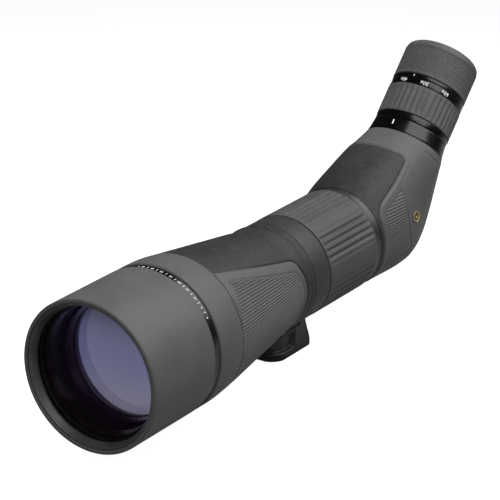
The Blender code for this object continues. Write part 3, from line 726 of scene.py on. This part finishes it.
def foot_side(y, z, share):
    """Half width, less the nose's rounding, the hollow (2.4) and the soft edge, plus the raised rim."""
    to_nose = np.clip(FOOT_FRONT + NOSE_R - y, 0.0, NOSE_R)
    half = foot_high[0] - NOSE_R + np.sqrt(NOSE_R ** 2 - to_nose ** 2)
    hollow = np.minimum(meet(2.4 - y, z - 5.1, 5.5), 17.4 - z)
    edge = 0.45 * smooth(share, 0.955, 1.0)
    return half + 0.14 - 2.4 * smooth(hollow, 0.0, 1.8) + 0.35 * dip(hollow + 0.7, 0.55) - edge


def foot_panel(name, side):
    """Front skin in rings, its rim turned in by 1 mm, and a point inside the foot that closes it."""
    outline = refined(rounded(FOOT_LINE, 1.2), 0.45)
    middle = np.array([1.0, 8.5])
    share = np.linspace(0, 1, 64)[1:, None, None]
    flat = middle + share * (outline - middle)
    out = foot_side(flat[..., 0], flat[..., 1], share[..., 0])
    front = np.stack([side * out, flat[..., 0], flat[..., 1]], -1)
    back = front[-1:] - np.array([side * 1.0, 0.0, 0.0])
    first = np.array([side * foot_side(*middle, 0.0), *middle])
    last = np.array([side * 8.0, *middle])
    return capped(name, np.concatenate([front, back]), first, last, 50.0)


for label, side in (("left", 1), ("right", -1)):
    dress(foot_panel(f"foot_panel_{label}", side), SATIN_BLACK, "mount", "gloss_black")
print("foot:", round(FOOT_REAR - FOOT_FRONT, 1), "mm long")

# %% [markdown]
# ## Focusing ring
# Groups of four deep flutes alternate with wide smooth lands, so that a gloved hand finds the ring. Each
# flute ends in front in a short steep ramp, which catches the light.

# %% Focusing ring
FOCUS_START = span("focus_grip")[0][1] - RIM_Y
FOCUS_END = span("focus_grip")[1][1] - RIM_Y
FOCUS_GROUPS = (9.5, 58.0, 118.0, 178.0, 238.0, 298.0)


def nearest(clock, centres):
    """Degrees from each clock to the closest centre, between -180 and 180."""
    away = (clock[..., None] - np.array(centres) + 180) % 360 - 180
    return np.take_along_axis(away, np.abs(away).argmin(-1)[..., None], -1)[..., 0]


def flute_field(clock, centres, half_span, fade, pitch):
    """fade x (0.5 - 0.5 cos(360 x off / pitch)): 1 in each flute, half a pitch off the centre, 0 on lands."""
    off = nearest(clock, centres)
    return smooth(half_span - np.abs(off), 0.0, fade) * (0.5 - 0.5 * np.cos(2 * pi * off / pitch))


def focus_relief(clock, height, radius):
    """Flutes 1.25 deep with a steep front end and a soft rear end."""
    outer = smooth(radius, FOCUS_R - 1.0, FOCUS_R - 0.55)
    flutes = flute_field(clock, FOCUS_GROUPS, 22.0, 8.0, 7.5) ** 1.6
    front_end = smooth(height, FOCUS_START + 1.4, FOCUS_START + 1.5 + 2.6 * flutes)
    length = front_end * smooth(FOCUS_END - height, 1.6, 3.2)
    return -outer * 1.25 * length * flutes


def grip_steps(start, end, bore, margin, coarse):
    """Rows 9 mm apart in the bore, 0.5 mm within a margin of either end, and coarse between."""
    def longest(radius, height):
        if radius < bore:
            return 9.0
        return 0.5 if min(height - start, end - height) < margin else coarse
    return longest


focus = turned("focus_rubber", TUBE, band_outline(35.4, FOCUS_R, FOCUS_START, FOCUS_END), rounding=0.6,
               longest=grip_steps(FOCUS_START, FOCUS_END, 36, 7, 3.0), clocks=FINE_CLOCKS,
               relief=focus_relief, sharp=60.0)
dress(focus, GRIP, "focus_ring", "rubber_armour", "focus_grip")
NECK_BORE = 32.9
neck = turned("neck_band", TUBE,
              [(NECK_BORE, FOCUS_END + 0.6), (36.1, FOCUS_END + 0.6), (35.7, FOCUS_END + 3.0),
               (35.8, FOCUS_END + 6.4), (36.5, FOCUS_END + 7.9), (NECK_BORE, FOCUS_END + 7.9)], rounding=0.6)
dress(neck, NECK_PAINT, "scope", "dark_paint", "neck_ring")
print("focusing ring:", round(FOCUS_END - FOCUS_START, 1), "mm long")

# %% [markdown]
# ## Prism housing
# The bent part can't be turned. It is a loft: each cross-section is a slightly squared ellipse between a top
# point and a bottom point, and those points slide along two smooth lines from the tube to the eyepiece's
# seat.

# %% The housing's loft
HOUSING_START = span("housing_armour")[0][1] - RIM_Y
BEND = BEND_POINT[1] - RIM_Y
SEAT, SEAT_R = 58.0, 29.6


def seat_point(rise):
    """A point of the seat in the middle plane, as (distance along the tube, height over the axis)."""
    half = cos(pi / 4)
    return BEND + SEAT * half - rise * half, SEAT * half + rise * half


TOP_LINE = np.array([(HOUSING_START, 36.8), (297, 41.8), (306, 45.4), (316, 48.9), (326, 52.3), (336, 55.7),
                     (345, 58.6), seat_point(SEAT_R)])
BOTTOM_LINE = np.array([(HOUSING_START, -36.6), (308, -36.6), (331, -36.5), (347.5, -34.2), (360, -25.2),
                        (371.8, -9.6), (384, 6.0), seat_point(-SEAT_R)])
HALF_WIDTHS = np.array([36.7, 36.8, 36.7, 36.4, 35.6, 34.2, 32.2, SEAT_R])
SQUARENESS = np.array([2.0, 2.2, 2.35, 2.4, 2.4, 2.3, 2.1, 2.0])


def through(knots, at):
    """A smooth curve through the knots: Hermite pieces whose slopes are half the step between neighbours."""
    knots = knots.reshape(len(knots), -1)
    slope = np.gradient(knots, axis=0)
    index = np.clip(at.astype(int), 0, len(knots) - 2)
    t = (at - index)[:, None]
    a, b, m, n = knots[index], knots[index + 1], slope[index], slope[index + 1]
    return ((1 + 2 * t) * (1 - t) ** 2 * a + t * (1 - t) ** 2 * m + t * t * (3 - 2 * t) * b
            - t * t * (1 - t) * n)


def squared(wave, power):
    """sign(w) x |w|^(2 / n): n = 2 keeps the ellipse, and a larger n makes it squarer."""
    return np.sign(wave) * np.abs(wave) ** (2 / power)


def housing_grid(at, clocks, inset):
    """Points centre + C x half height + S x half width, C and S squared, and the angle from C to S."""
    top, bottom = through(TOP_LINE, at), through(BOTTOM_LINE, at)
    width = through(HALF_WIDTHS, at) - inset
    power = through(SQUARENESS, at)
    centre, up = (top + bottom) / 2, (top - bottom) / 2
    up = up * (1 - inset / np.linalg.norm(up, axis=1))[:, None]
    rise = squared(np.cos(np.radians(clocks)), power)
    reach = squared(np.sin(np.radians(clocks)), power)
    y = centre[:, :1] + up[:, :1] * rise + RIM_Y
    z = centre[:, 1:] + up[:, 1:] * rise + BEND_POINT[2]
    return np.stack([width * reach, y, z], -1), np.degrees(np.arctan2(reach, rise))


def outward(points):
    """Unit normals of a grid that is closed along its rows: the cross product of its two directions."""
    across = np.roll(points, -1, 1) - np.roll(points, 1, 1)
    along = np.gradient(points, axis=0)
    normal = np.cross(across, along)
    return normal / np.linalg.norm(normal, axis=-1)[..., None]


print("the loft has", len(TOP_LINE), "stations")

# %% [markdown]
# The relief is laid on along the surface's own outward direction. Each line of it is a distance in mm to an
# edge: the groove round the smooth top panel, the bead beside it, the ribbed field and the dimples near the
# seat all follow from a few such distances.

# %% Relief of the housing
def housing_fields(points, turn):
    """Distances in mm into the top panel, into the ribbed field and behind it, and the places used."""
    y = points[..., 1] - RIM_Y
    z = points[..., 2] - BEND_POINT[2]
    up_eye = (points - BEND_POINT) @ EYE_WAY
    off_top = np.abs(turn)
    panel = meet((43.0 + 0.2 * (330.0 - y) - off_top) * 0.62, 38.4 - up_eye, 5.0)
    top_panel = -meet(-panel, y - HOUSING_START - 3.3, 8.0)
    rib_rear = 321.5 + 0.006 * (26.0 - z) ** 2
    ribs = meet(meet(-top_panel - 6.0, z + 24.0, 4.0), rib_rear - y, 2.5)
    return top_panel, ribs, y - rib_rear, z, up_eye, off_top


def housing_relief(points, turn):
    """Groove round the top panel, a bead beside it, ribs along the sides, and fine dimples near the seat."""
    top_panel, ribs, behind, z, up_eye, off_top = housing_fields(points, turn)
    lift = -0.35 * smooth(top_panel, -0.4, 0.4) - 0.6 * dip(top_panel, 0.6)
    bead = 0.25 * dip(top_panel + 2.4, 0.8)
    field = smooth(ribs, 0.0, 0.8)
    ridge = 0.5 - 0.5 * np.cos(2 * pi * z / 2.1)
    side = field * (-0.6 * ridge) - 0.45 * dip(ribs, 0.6)
    rim = -0.4 * dip(up_eye - 52.0, 0.6) * smooth(off_top, 54, 62)
    near_seat = smooth(up_eye, 12, 16) * smooth(50.0 - up_eye, 0, 2) * smooth(off_top, 50, 54)
    near_seat *= smooth(100.0 - off_top, 0, 4) * smooth(behind, 3.0, 5.0)
    dimples = -0.3 * near_seat * np.cos(2 * pi * up_eye / 1.9) * np.cos(2 * pi * off_top / 3.6)
    return lift + bead + side + rim + dimples


HOUSING_ROWS = 182
HOUSING_WALL = 2.2


def housing():
    """Outer loft with relief and inner loft one wall further in, joined at both ends."""
    rows = np.linspace(0, len(TOP_LINE) - 1, HOUSING_ROWS)
    clocks = side_clocks(62, 0.62, 1.0)
    outer, turn = housing_grid(rows, clocks, 0.12)
    away = outward(outer)
    out_sign = np.sign((away[100, 0] * (outer[100, 0] - outer[100].mean(0))).sum())
    ends = smooth(np.minimum(rows, rows[-1] - rows), 0.0, 0.06)[:, None, None]
    shaped = outer + out_sign * away * housing_relief(outer, turn)[..., None] * ends
    inner = housing_grid(rows[::-30], clocks, HOUSING_WALL)[0]
    fields = housing_fields(outer, turn)
    paler = np.concatenate([smooth(-fields[0], -0.2, 0.4).ravel(), np.zeros(inner.shape[0] * len(clocks))])
    points = np.concatenate([shaped, inner])
    faces = [grid_faces(*points.shape[:2], True)]
    return make_mesh("prism_housing_rubber", points, faces, {"panel": paler}, 60.0)


hood = housing()
dress(hood, ARMOUR, "scope", "rubber_armour", "housing_armour")
print("housing triangles:", 2 * len(hood.data.polygons))

# %% [markdown]
# A plain six-sided badge sits on the ribbed side: a thin gold rim, a black face and a gold dot. It has an
# axis of its own, a little tilted, so the same turning function makes it, with only six clocks.

# %% Side badge
badge_low, badge_high = span("side_badge")
BADGE_TILT = 0.12
badge_way = np.array([1.0, 0.0, BADGE_TILT]) / np.hypot(1.0, BADGE_TILT)
BADGE = {"base": (badge_low + badge_high) / 2 - 0.3 * badge_way, "way": badge_way,
         "up": np.cross(badge_way, (0.0, 1.0, 0.0)), "side": np.array([0.0, 1.0, 0.0])}
BADGE_R = (badge_high[1] - badge_low[1]) / 2
rim = turned("badge_rim", BADGE, band_outline(BADGE_R - 0.9, BADGE_R, -0.6, 0.5), rounding=0.15, clocks=6)
dress(rim, GOLD, "scope", "gold", "side_badge")
face = lens("badge_face", BADGE, BADGE_R - 0.8, -0.2, 0.25, 0.0, 0.0, rings=2, columns=6)
dress(face, ENAMEL, "scope", "gloss_black")
dot = lens("badge_dot", BADGE, 1.2, -0.1, 0.35, 0.0, 0.15, rings=6, columns=32)
dress(dot, GOLD, "scope", "gold")
print("badge:", round(2 * BADGE_R, 1), "mm across")

# %% [markdown]
# ## Eyepiece
# Two gloss rings close the housing, and an index ring with one mark stands before the eyecup. They are
# turned about the eyepiece's own axis, and each takes its place and radius from the frame's solid.

# %% Gloss rings of the eyepiece
def along_eye(node):
    """Where a round CAD node starts and ends along the eyepiece's axis, and its radius."""
    points = np.array([vertex.co[:] for vertex in frame["nodes"][node].data.vertices]) / MM
    height = (points - BEND_POINT) @ EYE_WAY
    off = np.linalg.norm(points - BEND_POINT - height[:, None] * EYE_WAY, axis=1)
    return height.min(), height.max(), off.max()


RING_BORE = 24.7
mount_start, mount_end, mount_r = along_eye("eyepiece_mount_ring")
mount = turned("eyepiece_seat_ring", EYE,
               [(RING_BORE, mount_start), (mount_r - 0.5, mount_start), (mount_r - 0.3, mount_start + 1.0),
                (28.3, mount_start + 5.2), (27.75, mount_end - 0.3), (27.3, mount_end),
                (RING_BORE, mount_end)], rounding=1.2, clocks=EYE_CLOCKS)
dress(mount, ENAMEL, "scope", "gloss_black", "eyepiece_mount_ring")
skirt_start, skirt_end, skirt_r = along_eye("eyepiece_skirt_ring")
skirt = turned("eyepiece_lower_ring", EYE, band_outline(RING_BORE, skirt_r, skirt_start, skirt_end),
               rounding=0.45, clocks=EYE_CLOCKS)
dress(skirt, ENAMEL, "scope", "gloss_black", "eyepiece_skirt_ring")
index_start, index_end, index_r = along_eye("index_ring")
index = turned("zoom_index_ring", EYE, band_outline(23.0, index_r, index_start, index_end),
               rounding=0.4, clocks=EYE_CLOCKS)
dress(index, ENAMEL, "scope", "gloss_black", "index_ring")
index_tick = [(*flat_bar(0.5, 1.6), 0.0, index_end - 1.4)]
tick = print_on_ring("index_marks", EYE, index_r + PRINT_LIFT, index_tick, 1.0)
dress(tick, WHITE, "scope", "white_marks")
seat_bar = [(*flat_bar(1.0, 4.0), 0.0, mount_start + 6.1)]
bar = print_on_ring("seat_ring_mark", EYE, 28.42, seat_bar, 1.0)
dress(bar, WHITE, "scope", "white_marks")
print("seat ring:", round(2 * mount_r, 1), "mm across")

# %% [markdown]
# ## Zoom ring
# Six groups of flutes give the fingers a hold. Beside them turns the enamelled band with the magnifications,
# from 20x to 60x; 3.5 degrees of turn stand for one step of magnification.

# %% Zoom ring and its numbers
zoom_start, zoom_end, zoom_r = along_eye("zoom_grip")


def zoom_relief(clock, height, radius):
    """Wide flutes in six groups of six, each flute running out at both ends."""
    outer = smooth(radius, zoom_r - 1.2, zoom_r - 0.6)
    length = smooth(height, zoom_start + 0.6, zoom_start + 2.4) * smooth(zoom_end - height, 0.8, 3.0)
    return -outer * 0.85 * length * flute_field(clock, 8.5 + 60.0 * np.arange(6), 27.6, 1.0, 9.2) ** 1.2


ZOOM_BORE = 25.0
grip = turned("zoom_rubber", EYE, band_outline(ZOOM_BORE, zoom_r, zoom_start, zoom_end), rounding=0.7,
              longest=grip_steps(zoom_start, zoom_end, 26, 4, 2.5), clocks=FINE_CLOCKS,
              relief=zoom_relief, sharp=60.0)
dress(grip, EYE_RUBBER, "zoom_ring", "rubber_armour", "zoom_grip")
band_start, band_end, band_r = along_eye("number_band")
band = turned("zoom_number_band", EYE, band_outline(ZOOM_BORE, band_r, band_start, band_end), rounding=0.4,
              clocks=EYE_CLOCKS)
dress(band, ENAMEL, "zoom_ring", "gloss_black", "number_band")
numbers = [(*flat_type(f"{power}x", 4.2), -85.0 + 3.5 * (power - 20), (band_start + band_end) / 2)
           for power in (20, 30, 40, 50, 60)]
figures = print_on_ring("zoom_numbers", EYE, band_r + PRINT_LIFT, numbers, 1.0)
dress(figures, WHITE, "zoom_ring", "white_marks")
print("zoom ring triangles:", 2 * len(grip.data.polygons))

# %% [markdown]
# ## Eyecup
# A rubber cup with a fine diamond knurl between two plain margins. The knurl is a product of two waves that
# cross, so its rows have to be close together, and only there. The small lens inside closes the eyepiece.

# %% Eyecup
cup_start, cup_end, cup_r = along_eye("rubber_eyecup")
KNURLS = 80


def cup_relief(clock, height, radius):
    """Diamond knurl: the product of two crossing waves, 0.55 deep, between two plain margins."""
    outer = smooth(radius, cup_r - 1.0, cup_r - 0.6)
    field = outer * smooth(height, cup_start + 1.4, cup_start + 2.2) * smooth(cup_end - 6.2 - height, 0, 0.7)
    turn = clock * KNURLS / 360
    rise = height / (2 * pi * cup_r / KNURLS)
    wave = np.abs(np.sin(pi * (turn + rise))) * np.abs(np.sin(pi * (turn - rise)))
    return -0.55 * field * (1 - wave ** 0.6)


def cup_steps(radius, height):
    """Rows 0.32 mm apart on the knurled outside, and 1.5 mm elsewhere."""
    return 0.32 if radius > 27 and cup_start + 1 < height < cup_end - 5 else 1.5


cup = turned("eyecup_rubber", EYE,
             [(25.8, cup_start), (cup_r, cup_start), (cup_r, cup_end - 5.4), (27.2, cup_end - 2.2),
              (25.2, cup_end - 0.4), (21.6, cup_end - 0.4), (20.6, cup_end - 1.4), (20.6, cup_end - 4),
              (25.8, cup_end - 4)],
             rounding=1.1, longest=cup_steps, clocks=FINE_CLOCKS, relief=cup_relief, sharp=60.0)
dress(cup, EYE_RUBBER, "eyecup", "rubber_armour", "rubber_eyecup")
print("eyecup triangles:", 2 * len(cup.data.polygons))
eye_start, eye_end, eye_r = along_eye("eye_lens")
eye_glass = lens("eye_glass", EYE, eye_r, eye_start + 1.2, eye_end - 2.0, 1.2, 2.0)
dress(eye_glass, FRONT_GLASS, "scope", "coated_glass", "eye_lens")

# %% [markdown]
# ## What the frame's own solids wear
# Everything inside the scope, and the foot with its fittings, keeps its shape and takes a finish.

# One of them, the ring that holds the collar, is black anodised instead of what its slot says.

# %% Finishes for the frame's own solids
OWN_FINISH = {"collar_retaining_ring": ANODISED}
for name, node in frame["nodes"].items():
    node.data.materials.clear()
    node.data.materials.append(OWN_FINISH.get(name, SLOT_FINISH[NODE_SLOT[name]]))
print("solids with a finish:", len(frame["nodes"]))

# %% [markdown]
# ## Studio
# The floor is paper that glows towards the camera only, so it looks white. Near the scope its own grey throws
# a little light back up, and further off it throws almost none.

# %% Floor
floor_mesh = bpy.data.meshes.new("floor")
far = 12.0
below = -0.0004
floor_mesh.from_pydata([(-far, -far, below), (far, -far, below), (far, far, below), (-far, far, below)], [],
                       [(0, 1, 2, 3)])
floor = bpy.data.objects.new("floor", floor_mesh)
bpy.context.scene.collection.objects.link(floor)
paper = bpy.data.materials.new("pale_paper")
paper.use_nodes = True
paper_tree = paper.node_tree
paper_shader = paper_tree.nodes["Principled BSDF"]
paper_shader.inputs["Roughness"].default_value = 1.0
paper_shader.inputs["Specular IOR Level"].default_value = 0.0
paper_shader.inputs["Emission Color"].default_value = (1, 1, 1, 1)
place = add(paper_tree, "ShaderNodeTexCoord").outputs["Object"]
reach = add(paper_tree, "ShaderNodeVectorMath", [(0, place)], operation='LENGTH').outputs["Value"]
fade = add(paper_tree, "ShaderNodeMapRange", [("Value", reach)], From_Min=0.25, From_Max=0.9, To_Min=0.3,
           To_Max=0.02, interpolation_type='SMOOTHSTEP')
paper_tree.links.new(fade.outputs[0], paper_shader.inputs["Base Color"])
seen = add(paper_tree, "ShaderNodeLightPath").outputs["Is Camera Ray"]
glow = add(paper_tree, "ShaderNodeMath", [(0, seen)], operation='MULTIPLY')
PAPER_GLOW = 0.94
glow.inputs[1].default_value = PAPER_GLOW
paper_tree.links.new(glow.outputs[0], paper_shader.inputs["Emission Strength"])
floor_mesh.materials.append(paper)
print("floor:", 2 * far, "m across")

# %% [markdown]
# A long softbox hangs high on the badge's side. A second lamp in the same place is seen only in reflections,
# which makes the gloss rings brighter without lighting the paint. Weaker lamps fill the front, the top, the
# far side and the low front, and the first three of them stay out of reflections.

# %% Lights
def soft_light(name, place, target, size, power, long_way):
    """A rectangular lamp at a place, facing a target; its long side lies along long_way."""
    data = bpy.data.lights.new(name, 'AREA')
    data.shape = 'RECTANGLE'
    data.size, data.size_y = size
    data.energy = power
    lamp = bpy.data.objects.new(name, data)
    back = (Vector(place) - Vector(target)).normalized()
    side = Vector(long_way).cross(back).normalized()
    up = back.cross(side)
    lamp.matrix_world = Matrix.LocRotScale(place, Matrix((side, up, back)).transposed(), None)
    bpy.context.scene.collection.objects.link(lamp)
    return lamp


softbox = ((0.79, 0.58, 1.33), (0, 0, 0.06), (1.5, 2.7))
softbox_way = (0.857, -2.216, 0.47)
soft_light("long_softbox", *softbox, 38.0, softbox_way)
shine = soft_light("softbox_shine", *softbox, 34.0, softbox_way)
shine.visible_diffuse = False
fills = [soft_light("front_fill", (-0.7, -1.6, 0.7), (0, -0.1, 0.06), (1.0, 0.8), 7.0, (0, 0, 1)),
         soft_light("overhead", (0.35, -0.25, 1.6), (0, 0, 0.06), (1.0, 1.0), 20.0, (0, 1, 0)),
         soft_light("far_side", (-1.3, 0.9, 0.9), (0, 0, 0.08), (1.2, 1.2), 22.0, (0, 0, 1))]
for lamp in fills:
    lamp.visible_glossy = False
soft_light("low_fill", (0.9, -1.6, 0.5), (0, 0, 0.06), (1.2, 0.8), 3.0, (0, 0, 1))
print("lamps:", len(bpy.data.lights))

# %% [markdown]
# The world is white to the camera and nearly dark to the scope, so that the lamps alone model its shape. The
# camera stands well back with a long lens, which keeps the near end from looking too large.

# %% World and camera
world = bpy.data.worlds.new("studio")
world.use_nodes = True
sky = world.node_tree.nodes["Background"]
sky.inputs["Color"].default_value = (1.0, 1.0, 1.0, 1)
direct = add(world.node_tree, "ShaderNodeLightPath").outputs["Is Camera Ray"]
WORLD_LIGHT = 0.02
level = add(world.node_tree, "ShaderNodeMapRange", [("Value", direct)], To_Min=WORLD_LIGHT, To_Max=1.0)
world.node_tree.links.new(level.outputs[0], sky.inputs["Strength"])
bpy.context.scene.world = world
bpy.context.scene.view_settings.view_transform = 'Standard'

camera_data = bpy.data.cameras.new("camera")
camera_data.lens = 180.0
camera_data.sensor_width = 36.0
camera_data.clip_end = 50.0
camera = bpy.data.objects.new("camera", camera_data)
camera.location = (0.8647, -1.3128, 0.6921)
forward = Vector((-0.5211, 0.7711, -0.3658))
camera.rotation_euler = forward.to_track_quat('-Z', 'Y').to_euler()
bpy.context.scene.collection.objects.link(camera)
bpy.context.scene.camera = camera
print("lens:", camera_data.lens, "mm")
